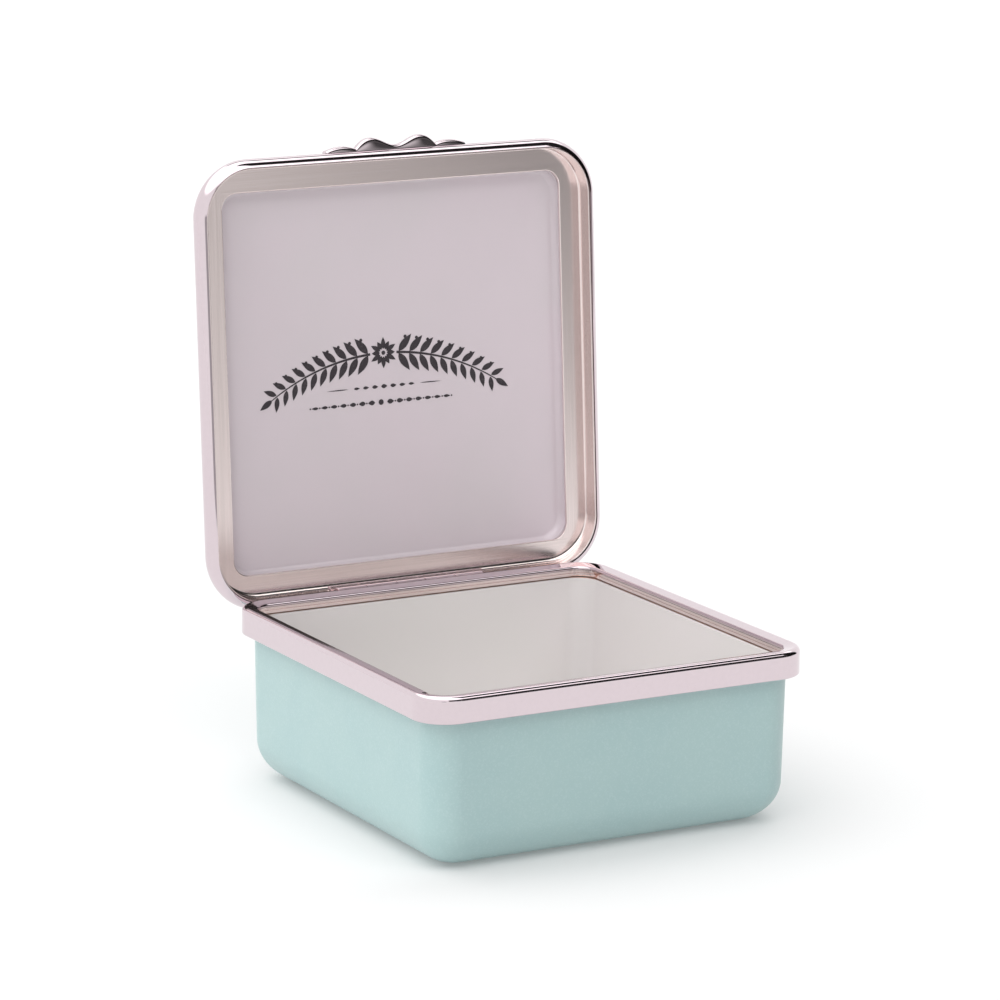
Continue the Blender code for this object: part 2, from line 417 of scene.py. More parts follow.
@dataclass(frozen=True)
class PrintedInk(Finish):
    """Dark transfer ink, slightly thin in places."""

    colour: Colour = (0.030, 0.022, 0.028)

    def surface(self, graph: Graph) -> Feeds:
        """Near-black with a little grey where the ink is thin.

        Args:
            graph: The material's graph.

        Returns:
            The feeds by socket name.
        """
        thin = graph.noise(graph.place(), 3.0, 2.0)
        return {
            "Base Color": graph.mix(thin.rising(0.45, 0.80) * 0.5, self.colour, (0.09, 0.075, 0.085)),
            "Roughness": 0.30 + thin * 0.15,
        }


@dataclass(frozen=True)
class FloorPaper(Finish):
    """Matt white paper with the faintest unevenness."""

    colour: Colour = (0.70, 0.70, 0.70)
    lift: float = 0.16

    def surface(self, graph: Graph) -> Feeds:
        """Nearly plain white that neither shines nor shows its grain.

        Args:
            graph: The material's graph.

        Returns:
            The feeds by socket name.
        """
        fibre = graph.noise(graph.place(), 0.02, 2.0)
        return {
            "Base Color": graph.mix(fibre, self.colour, tuple(0.995 * channel for channel in self.colour)),
            "Roughness": 0.9,
            "Specular IOR Level": 0.0,
            "Emission Color": (1.0, 1.0, 1.0),
            "Emission Strength": self.lift,
        }


PEARL = PearlEnamel("pearl_turquoise_enamel", Slot.TURQUOISE)
IVORY = GlossEnamel("ivory_inner_enamel", Slot.IVORY, (0.805, 0.772, 0.768), (0.795, 0.772, 0.758))
LILAC = GlossEnamel("lilac_grey_lid_enamel", Slot.GREY, (0.715, 0.630, 0.675), (0.695, 0.625, 0.66))
PLATE = PolishedPlate("bright_nickel_plate", Slot.PLATE)
SATIN = SatinPlate("brushed_nickel_plate", Slot.SATIN)
COPPER = CopperCore("bare_copper_core", Slot.COPPER)
INK = PrintedInk("transfer_ink", Slot.GREY)
PAPER = FloorPaper("white_studio_paper", None)


# Shapes

CORNER_STEPS = 20
SHARPEST_CORNER = 0.2
CREASE = 32.0


@dataclass(frozen=True)
class Corner:
    """One corner of an outline, with the radius that rounds it."""

    across: float
    height: float
    radius: float = 0.0


class Outline:
    """A closed section, drawn as rounded corners in the plane of distance out and height."""

    def __init__(self, corners: Sequence[Corner], arc_steps: int = 8) -> None:
        """Keeps the corners in anticlockwise order.

        Args:
            corners: The corners, in either order round the section.
            arc_steps: Steps in each rounded corner.
        """
        pairs = zip(corners, [*corners[1:], corners[0]])
        area = sum(one.across * two.height - two.across * one.height for one, two in pairs)
        self.corners = list(corners) if area > 0.0 else list(reversed(corners))
        self.arc_steps = arc_steps

    def points(self) -> list[Flat]:
        """The section's points, with each rounded corner as an arc."""
        found: list[Flat] = []
        ring = self.corners
        for before, corner, after in zip(ring[-1:] + ring[:-1], ring, ring[1:] + ring[:1]):
            found.extend(self._rounded(before, corner, after))
        return found

    def _rounded(self, before: Corner, corner: Corner, after: Corner) -> list[Flat]:
        """The arc that rounds one corner.

        Args:
            before: The corner before it.
            corner: The corner.
            after: The corner after it.

        Returns:
            The arc's points, or the corner alone if it is sharp.
        """
        here = Vector((corner.across, corner.height))
        if corner.radius <= 0.0:
            return [tuple(here)]
        back = (Vector((before.across, before.height)) - here).normalized()
        ahead = (Vector((after.across, after.height)) - here).normalized()
        half = back.angle(ahead) / 2.0
        reach = corner.radius / math.tan(half)
        centre = here + (back + ahead).normalized() * (corner.radius / math.sin(half))
        first = here + back * reach - centre
        last = here + ahead * reach - centre
        sweep = first.angle_signed(last)
        steps = max(3, round(self.arc_steps * abs(sweep) / (math.pi / 2.0)))
        start = math.atan2(first.y, first.x)
        angles = [start - sweep * step / steps for step in range(steps + 1)]
        size = corner.radius
        return [(centre.x + size * math.cos(angle), centre.y + size * math.sin(angle)) for angle in angles]


def turned_by(steps: int, sweep_deg: float = 90.0) -> list[Flat]:
    """The cosine and sine at equal steps of a turn, both ends included."""
    angles = [math.radians(sweep_deg) * step / steps for step in range(steps + 1)]
    return [(math.cos(angle), math.sin(angle)) for angle in angles]


def square_loop(half: float, corner: float, height: float) -> list[Point]:
    """A level rounded square, anticlockwise seen from above.

    Args:
        half: Half of its width.
        corner: Its corner radius.
        height: Its height.

    Returns:
        Its points.
    """
    radius = min(max(corner, SHARPEST_CORNER), half)
    loop = []
    for quarter in range(4):
        middle_x = (half - radius) * (1.0 if quarter in (0, 3) else -1.0)
        middle_y = (half - radius) * (1.0 if quarter in (0, 1) else -1.0)
        for step in range(CORNER_STEPS + 1):
            angle = (quarter + step / CORNER_STEPS) * math.pi / 2.0
            loop.append((middle_x + radius * math.cos(angle), middle_y + radius * math.sin(angle), height))
    return loop


@dataclass(frozen=True)
class Workshop:
    """Turns rings of points into finished pieces; opened is the turn that opens the closed lid."""

    opened: Matrix

    @staticmethod
    def mesh(name: str, rings: Sequence[Sequence[Point]], closed: bool) -> Piece:
        """Joins equal rings into a solid.

        Args:
            name: The piece's name.
            rings: Rings of points in millimetres, each anticlockwise round the solid's axis.
            closed: True joins the last ring to the first; False caps both ends.

        Returns:
            The object.
        """
        count = len(rings[0])
        faces: list[tuple[int, ...]] = []
        for row in range(len(rings) if closed else len(rings) - 1):
            low = row * count
            high = (row + 1) % len(rings) * count
            for column in range(count):
                after = (column + 1) % count
                faces.append((low + column, low + after, high + after, high + column))
        if not closed:
            faces.append(tuple(range(count))[::-1])
            faces.append(tuple(range((len(rings) - 1) * count, len(rings) * count)))
        return Workshop.object_from(name, [point for ring in rings for point in ring], faces)

    @staticmethod
    def block(name: str, low: Point, high: Point) -> Piece:
        """A plain block between two opposite corners."""
        outline = [(low[0], low[1]), (high[0], low[1]), (high[0], high[1]), (low[0], high[1])]
        return Workshop.mesh(name, [[(x, y, z) for x, y in outline] for z in (low[2], high[2])], closed=False)

    @staticmethod
    def smooth(mesh: bpy.types.Mesh) -> None:
        """Shades a mesh smooth between its creases."""
        mesh.shade_smooth()
        mesh.set_sharp_from_angle(angle=math.radians(CREASE))

    @staticmethod
    def object_from(name: str, points: Iterable[Point], faces: Sequence[tuple[int, ...]]) -> Piece:
        """A smooth-shaded object from points and faces.

        Args:
            name: The piece's name.
            points: Its points in millimetres.
            faces: Its faces.

        Returns:
            The object.
        """
        mesh = bpy.data.meshes.new(name)
        mesh.from_pydata([Vector(point) * MM for point in points], [], faces)
        builder = bmesh.new()
        builder.from_mesh(mesh)
        bmesh.ops.recalc_face_normals(builder, faces=builder.faces)
        builder.to_mesh(mesh)
        builder.free()
        Workshop.smooth(mesh)
        piece = bpy.data.objects.new(name, mesh)
        bpy.context.scene.collection.objects.link(piece)
        return piece

    @staticmethod
    def cut(piece: Piece, cutter: Piece) -> None:
        """Takes the cutter away from a piece and keeps the result as the piece's mesh.

        Args:
            piece: The piece.
            cutter: What is taken away.
        """
        modifier = piece.modifiers.new("slot", "BOOLEAN")
        modifier.operation = "DIFFERENCE"
        modifier.solver = "EXACT"
        modifier.object = cutter
        graph = bpy.context.evaluated_depsgraph_get()
        cut_mesh = bpy.data.meshes.new_from_object(piece.evaluated_get(graph))
        piece.modifiers.clear()
        piece.data = cut_mesh
        Workshop.smooth(cut_mesh)

    def finish(self, piece: Piece, finish: Finish, part: Part, *stands_for: str) -> Piece:
        """Dresses a piece, puts it on its half and reports it.

        Args:
            piece: The piece, drawn with the lid closed.
            finish: Its finish.
            part: The half that it moves with.
            stands_for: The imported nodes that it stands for.

        Returns:
            The piece.
        """
        piece.data.materials.clear()
        piece.data.materials.append(finish.material())
        even = piece.modifiers.new("even_shading", "WEIGHTED_NORMAL")
        even.keep_sharp = True
        even.weight = 80
        if part is Part.LID:
            piece.matrix_world = self.opened
        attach(piece, part.value)
        if stands_for:
            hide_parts(*stands_for)
        log.info("%s: %s on the %s", piece.name, finish.name, part.value)
        return piece


def rings_of(outline: Outline, half: float, corner: float, growth: float = 1.0) -> list[list[Point]]:
    """Carries a section round a square whose corner radius is given at half and grows outwards."""
    return [
        square_loop(across, corner + growth * (across - half), height) for across, height in outline.points()
    ]


class Shell:
    """A pressed shell of several layers, each of which lies between two faces."""

    def face(self, depth: float) -> list[list[Point]]:
        """The face that lies this far through the shell, as rings from its rim to its middle."""
        raise NotImplementedError

    def layer(self, name: str, depth: float, thick: float) -> Piece:
        """The layer that starts this far through the shell."""
        return Workshop.mesh(name, self.face(depth)[::-1] + self.face(depth + thick), closed=False)


# Base


@dataclass
class BaseTray(Shell):
    """The deep pressed tray, enamelled outside and in over copper."""

    half_top: float
    top: float
    half_foot_draft: float = 0.24
    corner: float = 4.5
    foot_radius: float = 6.0
    foot_corner_share: float = 0.55
    foot_corner_least: float = 1.2
    outer_enamel: float = 0.45
    copper: float = 0.50
    inner_enamel: float = 0.40
    wall_shares: tuple[float, ...] = (0.0, 0.03, 0.5, 0.97, 1.0)
    bend_steps: int = 18

    def face(self, depth: float) -> list[list[Point]]:
        """One face of the tray, from its top edge down to the flat of its floor.

        Args:
            depth: How far the face lies inside the outer one.

        Returns:
            The rings of points.
        """
        foot_half = self.half_top - self.half_foot_draft - depth
        radius = self.foot_radius - depth
        corner = self.corner - depth
        bend_height = depth + radius
        rings = []
        for share in self.wall_shares:
            half = self.half_top - depth - self.half_foot_draft * share
            rings.append(square_loop(half, corner, self.top + (bend_height - self.top) * share))
        for cos, sin in turned_by(self.bend_steps)[1:]:
            shrink = radius * (1.0 - cos)
            tight = max(corner - shrink * self.foot_corner_share, self.foot_corner_least)
            rings.append(square_loop(foot_half - shrink, tight, bend_height - radius * sin))
        return rings

    def build(self, shop: Workshop) -> None:
        """Makes the two enamel layers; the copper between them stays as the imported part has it.

        Args:
            shop: The workshop.
        """
        outer = self.layer("tray_outer_enamel", 0.0, self.outer_enamel)
        shop.finish(outer, PEARL, Part.BASE, "base_outer_enamel")
        inner = self.layer("tray_inner_enamel", self.outer_enamel + self.copper, self.inner_enamel)
        shop.finish(inner, IVORY, Part.BASE, "base_inner_enamel")


@dataclass
class RimBand:
    """The plated band that clasps the tray's rim, and the brushed collar inside it."""

    half: float
    low: float
    crest: float
    corner: float = 5.0
    skirt: float = 28.60
    inner: float = 27.65
    edge_radius: float = 0.75
    land_fall: float = 0.40
    lip_drop: float = 0.85
    lip_radius: float = 0.42
    collar_low: float = 23.40
    collar_thick: float = 0.40
    seat_gap: float = 0.05
    groove: float = 23.92
    groove_half: float = 0.06
    groove_deep: float = 0.10

    def band_outline(self) -> Outline:
        """The band's section: a flat face, a rolled top edge and a land that falls inwards."""
        tray_top = self.collar_low
        leg = self.inner + self.collar_thick + self.seat_gap
        return Outline(
            [
                Corner(self.skirt, self.low, 0.05),
                Corner(self.half, self.low, 0.22),
                Corner(self.half, self.crest + 0.05, self.edge_radius),
                Corner(self.inner, self.crest - self.land_fall, self.lip_radius),
                Corner(self.inner, self.crest - self.lip_drop),
                Corner(leg, self.crest - self.lip_drop),
                Corner(leg, tray_top),
                Corner(self.skirt, tray_top),
            ],
            arc_steps=16,
        )

    def collar_outline(self) -> Outline:
        """The collar's section: a thin strip with a fine groove round its inside."""
        outer = self.inner + self.collar_thick
        top = self.crest - self.lip_drop - self.seat_gap
        return Outline(
            [
                Corner(self.inner, self.collar_low, 0.10),
                Corner(outer, self.collar_low),
                Corner(outer, top),
                Corner(self.inner, top),
                Corner(self.inner, self.groove + self.groove_half),
                Corner(self.inner + self.groove_deep, self.groove),
                Corner(self.inner, self.groove - self.groove_half),
            ]
        )

    def build(self, shop: Workshop) -> None:
        """Makes the band and its collar.

        Args:
            shop: The workshop.
        """
        band = Workshop.mesh("rim_band", rings_of(self.band_outline(), self.half, self.corner), closed=True)
        shop.finish(band, PLATE, Part.BASE, "base_mount_band")
        rings = rings_of(self.collar_outline(), self.half, self.corner)
        collar = Workshop.mesh("rim_collar", rings, closed=True)
        shop.finish(collar, SATIN, Part.BASE, "base_inner_collar")


# Lid


@dataclass
class LidMount:
    """The round bead that edges the lid, and the brushed frame inside it, slotted for the hinge."""

    half: float
    corner: float = 8.4
    bead_radius: float = 1.85
    centre_height: float = 24.30
    wall: float = 30.95
    wall_thick: float = 0.26
    wall_corner: float = 7.0
    flange_height: float = 25.32
    flange_thick: float = 0.44
    opening: float = 27.50
    corner_growth: float = 1.36
    wall_lift: float = 0.30
    foot_lift: float = 0.35
    seat_gap: float = 0.05
    pan_outer: float = 29.25
    pan_gap: float = 0.06
    slot_half: float = 12.75
    slot_low: float = 21.5
    slot_top: float = 25.25
    side_cove: float = 0.25
    hinge_cove: float = 0.90
    bead_steps: int = 30

    def bead_outline(self) -> Outline:
        """The bead's section: a half round with a flat seat for the frame and the pan."""
        centre = self.half - self.bead_radius
        top = self.centre_height + self.bead_radius
        seat = self.wall + self.wall_thick + self.seat_gap
        low = self.centre_height - self.bead_radius
        shelf = self.flange_height + self.flange_thick + self.seat_gap
        pocket = self.pan_outer + self.pan_gap
        start = math.acos((seat - centre) / self.bead_radius)
        corners = []
        for step in range(self.bead_steps + 1):
            angle = -start + (start + math.pi / 2.0) * step / self.bead_steps
            across = centre + self.bead_radius * math.cos(angle)
            corners.append(Corner(across, self.centre_height + self.bead_radius * math.sin(angle)))
        corners += [Corner(pocket, top, 0.12), Corner(pocket, shelf)]
        corners += [Corner(seat, shelf), Corner(seat, low + self.foot_lift)]
        return Outline(corners)

    def frame_outline(self, cove: float) -> Outline:
        """The frame's section: a thin wall and a flat flange that runs in to the opening.

        Args:
            cove: The radius between the wall and the flange.

        Returns:
            The section.
        """
        wall_out = self.wall + self.wall_thick
        low = self.centre_height - self.bead_radius + self.wall_lift
        top = self.flange_height + self.flange_thick
        return Outline(
            [
                Corner(self.wall, low, 0.08),
                Corner(wall_out, low, 0.08),
                Corner(wall_out, top),
                Corner(self.opening, top, 0.08),
                Corner(self.opening, self.flange_height, 0.14),
                Corner(self.wall, self.flange_height, cove),
            ],
            arc_steps=10,
        )

    def frame_rings(self) -> list[list[Point]]:
        """The frame's rings, with the cove growing wider round the two corners at the hinge."""
        narrow, wide = (
            rings_of(self.frame_outline(cove), self.wall, self.wall_corner, self.corner_growth)
            for cove in (self.side_cove, self.hinge_cove)
        )
        start = self.wall - self.wall_corner
        rings = []
        for near_ring, far_ring in zip(narrow, wide):
            ring = []
            for near, far in zip(near_ring, far_ring):
                share = min(max((near[1] - start) / self.wall_corner, 0.0), 1.0)
                ring.append(tuple(Vector(near).lerp(Vector(far), share * share * (3.0 - 2.0 * share))))
            rings.append(ring)
        return rings

    def slot_block(self) -> Piece:
        """The block that clears the hinge from the back of the lid."""
        low = (-self.slot_half, self.wall - 0.6, self.slot_low)
        return Workshop.block("hinge_slot_block", low, (self.slot_half, self.half + 1.6, self.slot_top))

    def build(self, shop: Workshop) -> None:
        """Makes the bead and the frame, and cuts the hinge slot in both.

        Args:
            shop: The workshop.
        """
        block = self.slot_block()
        rings = rings_of(self.bead_outline(), self.half, self.corner)
        bead = Workshop.mesh("lid_bead", rings, closed=True)
        shop.cut(bead, block)
        shop.finish(bead, PLATE, Part.LID, "lid_mount_bead")
        inner = Workshop.mesh("lid_frame", self.frame_rings(), closed=True)
        shop.cut(inner, block)
        shop.finish(inner, SATIN, Part.LID, "lid_inner_frame")
        bpy.data.objects.remove(block, do_unlink=True)


@dataclass
class LidPan(Shell):
    """The shallow domed plate that fills the lid, enamelled on both sides."""

    inner_half: float = 27.90
    corner: float = 4.2
    low: float = 25.86
    top: float = 27.35
    fillet: float = 1.10
    rise: float = 0.60
    layer_gap: float = 0.01
    inner_enamel: float = 0.40
    copper: float = 0.50
    outer_enamel: float = 0.45
    fillet_sweep: float = 88.0
    dome_rounding: float = 0.4
    fillet_steps: int = 10
    dome_steps: int = 22

    def height(self, share: float, depth: float = 0.0) -> float:
        """How high a face is at this share of the way from the middle to the edge of the dome."""
        return self.top + depth + self.rise * math.cos(math.pi / 2.0 * min(share, 1.0))

    def face(self, depth: float) -> list[list[Point]]:
        """One face of the pan, from its skirt over the fillet to the middle.

        Args:
            depth: How far out the face lies from the innermost one.

        Returns:
            The rings of points.
        """
        half = self.inner_half + depth
        corner = self.corner + depth
        fillet = self.fillet + depth
        rings = [square_loop(half, corner, self.low)]
        for cos, sin in turned_by(self.fillet_steps, self.fillet_sweep)[:-1]:
            shrink = fillet * (1.0 - cos)
            height = self.top + depth - fillet * (1.0 - sin)
            rings.append(square_loop(half - shrink, corner - shrink, height))
        edge = half - fillet
        for step in range(1, self.dome_steps):
            share = 1.0 - step / self.dome_steps
            rounder = corner - fillet + (1.0 - share) * edge * self.dome_rounding
            rings.append(square_loop(edge * share, rounder, self.height(share, depth)))
        return rings

    def build(self, shop: Workshop) -> None:
        """Makes the two enamel layers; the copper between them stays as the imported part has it.

        Args:
            shop: The workshop.
        """
        inner = self.layer("lid_panel_enamel", 0.0, self.inner_enamel - self.layer_gap)
        shop.finish(inner, LILAC, Part.LID, "lid_inner_enamel")
        outer = self.layer("lid_outside_enamel", self.inner_enamel + self.copper, self.outer_enamel)
        shop.finish(outer, PEARL, Part.LID, "lid_outer_enamel")


@dataclass
class ThumbPiece:
    """The scalloped tongue that lifts the lid."""

    low: float = 24.05
    top: float = 25.45
    end: float = 11.3
    bead_centre: float = 30.55
    bead_height: float = 24.30
    bead_face: float = 1.87
    edge: float = 0.42
    dip: float = 33.00
    crown: float = 34.20
    crown_x: float = 4.0
    notch: float = 32.80
    notch_x: float = 6.45
    shoulder: float = 33.20
    shoulder_x: float = 8.6
    end_fall: float = 0.60
    end_run: float = 2.9
    columns: int = 150
    edge_steps: int = 4
    back_steps: int = 8

    def reach(self, x: float) -> float:
        """How far forward the scalloped edge stands.

        Args:
            x: Millimetres from the middle.

        Returns:
            Millimetres from the middle of the box.
        """
        side = abs(x)
        if side <= self.crown_x:
            wave = 1.0 - math.cos(math.pi * side / self.crown_x)
            return self.dip + (self.crown - self.dip) * wave / 2.0
        if side <= self.notch_x:
            share = (side - self.crown_x) / (self.notch_x - self.crown_x)
            return self.crown - (self.crown - self.notch) * share ** 2
        if side <= self.shoulder_x:
            share = (self.shoulder_x - side) / (self.shoulder_x - self.notch_x)
            return self.shoulder - (self.shoulder - self.notch) * share ** 2
        return self.shoulder - self.end_fall * ((side - self.shoulder_x) / self.end_run) ** 2

    def section(self, x: float) -> list[Point]:
        """The tongue's outline at one place along it: a rounded front, and a back that fits the bead.

        Args:
            x: Millimetres from the middle.

        Returns:
            The points of the outline.
        """
        turn = turned_by(self.edge_steps)
        curve = [(self.edge * (1.0 - sin), self.edge * (1.0 - cos)) for cos, sin in turn]
        front = self.reach(x)
        outline = [(x, back - front, self.low + up) for back, up in curve]
        outline += [(x, back - front, self.top - up) for back, up in reversed(curve)]
        for step in range(self.back_steps + 1):
            height = self.top + (self.low - self.top) * step / self.back_steps
            drop = height - self.bead_height
            outline.append((x, -self.bead_centre - math.sqrt(self.bead_face ** 2 - drop ** 2), height))
        return outline

    def build(self, shop: Workshop) -> None:
        """Makes the tongue.

        Args:
            shop: The workshop.
        """
        places = [-self.end + 2.0 * self.end * step / self.columns for step in range(self.columns + 1)]
        tongue = Workshop.mesh("thumb_tongue", [self.section(x) for x in places], closed=False)
        shop.finish(tongue, PLATE, Part.LID, "thumb_piece")


LEAF_STEPS = 8
FACING = {1.0: 0.0, -1.0: math.pi}


@dataclass
class Garland:
    """A printed laurel garland inside the lid, with a rosette at its crown."""

    pan: LidPan
    centre_x: float = -1.1
    crown_y: float = -2.5
    bend_radius: float = 34.4
    reach_deg: float = 33.0
    leaf_pairs: int = 10
    leaf_length: float = 3.2
    leaf_width: float = 1.15
    leaf_lean_deg: float = 52.0
    rule_y: float = 2.4
    border_y: float = 4.7
    lift: float = 0.04
    points: list[Point] = field(default_factory=list)
    faces: list[tuple[int, ...]] = field(default_factory=list)

    def on_bend(self, turn_deg: float, out: float = 0.0) -> Flat:
        """A point beside the garland's stem.

        Args:
            turn_deg: How far round from the crown, to the right if positive.
            out: How far outside the stem.

        Returns:
            The point's place on the panel.
        """
        angle = math.radians(turn_deg)
        radius = self.bend_radius + out
        x = self.centre_x + radius * math.sin(angle)
        y = self.crown_y + self.bend_radius - radius * math.cos(angle)
        return x, y

    def print_shape(self, outline: Sequence[Flat]) -> None:
        """Adds one inked shape, laid on the panel.

        Args:
            outline: Its points on the panel.
        """
        start = len(self.points)
        middle_x = sum(x for x, _ in outline) / len(outline)
        middle_y = sum(y for _, y in outline) / len(outline)
        edge = self.pan.inner_half - self.pan.fillet
        for x, y in [(middle_x, middle_y), *outline]:
            self.points.append((x, y, self.pan.height(max(abs(x), abs(y)) / edge) - self.lift))
        count = len(outline)
        for index in range(count):
            self.faces.append((start, start + 1 + index, start + 1 + (index + 1) % count))

    def leaf(self, x: float, y: float, heading: float, length: float, width: float) -> None:
        """Adds one pointed leaf.

        Args:
            x: Where its foot is.
            y: Where its foot is.
            heading: Its direction in radians.
            length: Its length.
            width: Its width.
        """
        shares = [step / LEAF_STEPS for step in range(LEAF_STEPS + 1)]
        rim = [(share * length, width / 2.0 * math.sin(math.pi * share ** 0.8)) for share in shares]
        rim += [(along, -out) for along, out in reversed(rim[1:-1])]
        cos, sin = math.cos(heading), math.sin(heading)
        self.print_shape([(x + a * cos - b * sin, y + a * sin + b * cos) for a, b in rim])

    def dot(self, x: float, y: float, radius: float) -> None:
        """Adds one round berry."""
        circle = turned_by(14, 360.0)[:-1]
        self.print_shape([(x + radius * cos, y + radius * sin) for cos, sin in circle])

    def stem(self, start_deg: float, end_deg: float, width: float) -> None:
        """Adds a length of stem along the bend.

        Args:
            start_deg: Where it starts.
            end_deg: Where it ends.
            width: Its width at the start; it thins towards its end.
        """
        steps = 24
        turns = [start_deg + (end_deg - start_deg) * step / steps for step in range(steps + 1)]
        for step, (first, last) in enumerate(zip(turns, turns[1:])):
            thick = width * (1.0 - 0.6 * step / steps) / 2.0
            places = ((first, -thick), (last, -thick), (last, thick), (first, thick))
            self.print_shape([self.on_bend(turn, out) for turn, out in places])

    def branch(self, side: float) -> None:
        """Adds the leaves and berries of one half.

        Args:
            side: 1 for the right half, -1 for the left.
        """
        self.stem(side * 3.6, side * self.reach_deg, 0.36)
        for pair in range(self.leaf_pairs):
            share = pair / (self.leaf_pairs - 1.0)
            turn = side * (4.2 + (self.reach_deg - 6.4) * share)
            size = 1.0 - 0.30 * share
            along = math.radians(turn) + FACING[side]
            for out in (-1.0, 1.0):
                x, y = self.on_bend(turn, 0.15 * out)
                heading = along - side * out * math.radians(self.leaf_lean_deg)
                self.leaf(x, y, heading, self.leaf_length * size, self.leaf_width * size)
            if pair < self.leaf_pairs - 1:
                self.dot(*self.on_bend(turn + side * 1.5, 2.3 * size), 0.26 * size)
        x, y = self.on_bend(side * (self.reach_deg - 0.6))
        self.leaf(x, y, math.radians(side * self.reach_deg) + FACING[side], 2.4, 0.9)

    def rosette(self) -> None:
        """Adds the twelve-petalled rosette at the crown."""
        for petal in range(12):
            heading = math.radians(30.0 * petal)
            x = self.centre_x + 0.55 * math.cos(heading)
            y = self.crown_y + 0.55 * math.sin(heading)
            self.leaf(x, y, heading, 1.75 if petal % 2 else 1.35, 0.72)

    def rule(self) -> None:
        """Adds a row of lozenges between two tapering lines, under the crown."""
        for place in range(-3, 4):
            self.leaf(self.centre_x + 1.5 * place - 0.5, self.rule_y, 0.0, 1.0, 0.62 - 0.08 * abs(place))
        for side in (-1.0, 1.0):
            self.leaf(self.centre_x + side * 5.9, self.rule_y, FACING[side], 3.6, 0.16)

    def border(self) -> None:
        """Adds a straight row of small leaves that part in the middle, with berries between them."""
        middle = self.centre_x - 0.6
        self.dot(middle, self.border_y, 0.42)
        for side in (-1.0, 1.0):
            for place in range(7):
                x = middle + side * (1.0 + 1.55 * place)
                self.leaf(x, self.border_y, FACING[side], 1.15, 0.72 - 0.05 * place)
                self.dot(x + side * 1.35, self.border_y, 0.13)

    def build(self, shop: Workshop) -> None:
        """Prints the garland on the panel.

        Args:
            shop: The workshop.
        """
        self.branch(1.0)
        self.branch(-1.0)
        self.rosette()
        self.dot(self.centre_x, self.crown_y, 0.32)
        self.rule()
        self.border()
        printed = Workshop.object_from("printed_garland", self.points, self.faces)
        shop.finish(printed, INK, Part.LID)


# Hinge


@dataclass
class Hinge:
    """Five knuckles on one pin, a leaf on the band and a leaf under the bead."""

    axis_y: float
    axis_z: float
    band_half: float
    slot_top: float
    radius: float = 1.15
    bore: float = 0.52
    pin_radius: float = 0.46
    gap: float = 0.05
    soft_end: float = 0.10
    turn_steps: int = 48
    leaf_low: float = 22.75
    leaf_high: float = 24.85
    pin_head: tuple[Flat, ...] = (
        (0.08, 0.66),
        (0.14, 0.70),
        (0.26, 0.68),
        (0.36, 0.60),
        (0.42, 0.40),
    )
    ends: tuple[float, ...] = (-12.0, -7.3, -2.35, 2.35, 7.3, 12.0)
    names: tuple[str, ...] = (
        "base_knuckle_left",
        "lid_knuckle_left",
        "base_knuckle_centre",
        "lid_knuckle_right",
        "base_knuckle_right",
    )

    def turned(self, name: str, section: Sequence[Flat], closed: bool) -> Piece:
        """A turned piece that lies along the pin.

        Args:
            name: The piece's name.
            section: Pairs of place along the pin and radius.
            closed: True for a tube, False for a solid bar.

        Returns:
            The object.
        """
        circle = turned_by(self.turn_steps, 360.0)[:-1]
        rings = [[(x, self.axis_y + r * u, self.axis_z + r * v) for u, v in circle] for x, r in section]
        return Workshop.mesh(name, rings, closed)

    def knuckle(self, name: str, start: float, end: float) -> Piece:
        """One knuckle with softened ends and its bore.

        Args:
            name: The piece's name.
            start: Its left end.
            end: Its right end.

        Returns:
            The object.
        """
        section = [(start, self.bore)]
        for cos, sin in turned_by(3):
            inward, down = self.soft_end * (1.0 - cos), self.soft_end * (1.0 - sin)
            section.append((start + inward, self.radius - down))
        mirrored = [(start + end - x, radius) for x, radius in reversed(section)]
        return self.turned(name, section + mirrored, closed=True)

    def leaf(self, name: str, low: Point, high: Point) -> Piece:
        """A thin plate with softened edges.

        Args:
            name: The piece's name.
            low: Its lowest corner.
            high: Its highest corner.

        Returns:
            The object.
        """
        plate = Workshop.block(name, low, high)
        bevel = plate.modifiers.new("soft_edges", "BEVEL")
        bevel.width = 0.04 * MM
        bevel.segments = 3
        return plate

    def build(self, shop: Workshop) -> None:
        """Makes the knuckles, the pin and both leaves.

        Args:
            shop: The workshop.
        """
        for name, start, end in zip(self.names, self.ends, self.ends[1:]):
            piece = self.knuckle("hinge_" + name, start + self.gap, end - self.gap)
            shop.finish(piece, PLATE, Part.LID if name.startswith("lid") else Part.BASE, name)
        half = [(self.ends[-1] + past, radius) for past, radius in ((0.06, self.pin_radius), *self.pin_head)]
        section = [(-x, radius) for x, radius in reversed(half)] + half
        shop.finish(self.turned("hinge_pin_bar", section, closed=False), PLATE, Part.BASE, "hinge_pin")
        near = self.band_half + 0.04
        far = self.axis_y - self.radius - self.gap
        left, right = self.ends[0], self.ends[-1]
        base_leaf = self.leaf("hinge_base_leaf", (left, near, self.leaf_low), (right, far, self.leaf_high))
        shop.finish(base_leaf, PLATE, Part.BASE, "base_hinge_leaf")
        low = (left, self.axis_y - 0.35, self.axis_z + self.radius + 0.03)
        high = (right, self.axis_y + 0.45, self.slot_top - 0.03)
        shop.finish(self.leaf("hinge_lid_leaf", low, high), PLATE, Part.LID, "lid_hinge_leaf")


# Studio


@dataclass(frozen=True)
class Flag:
    """A dark patch of the studio, by compass from the front and by height, in degrees."""

    left: float
    right: float
    low: float
    high: float
    brightness: float
    side_edge: float = 2.5
    height_edge: float = 2.5


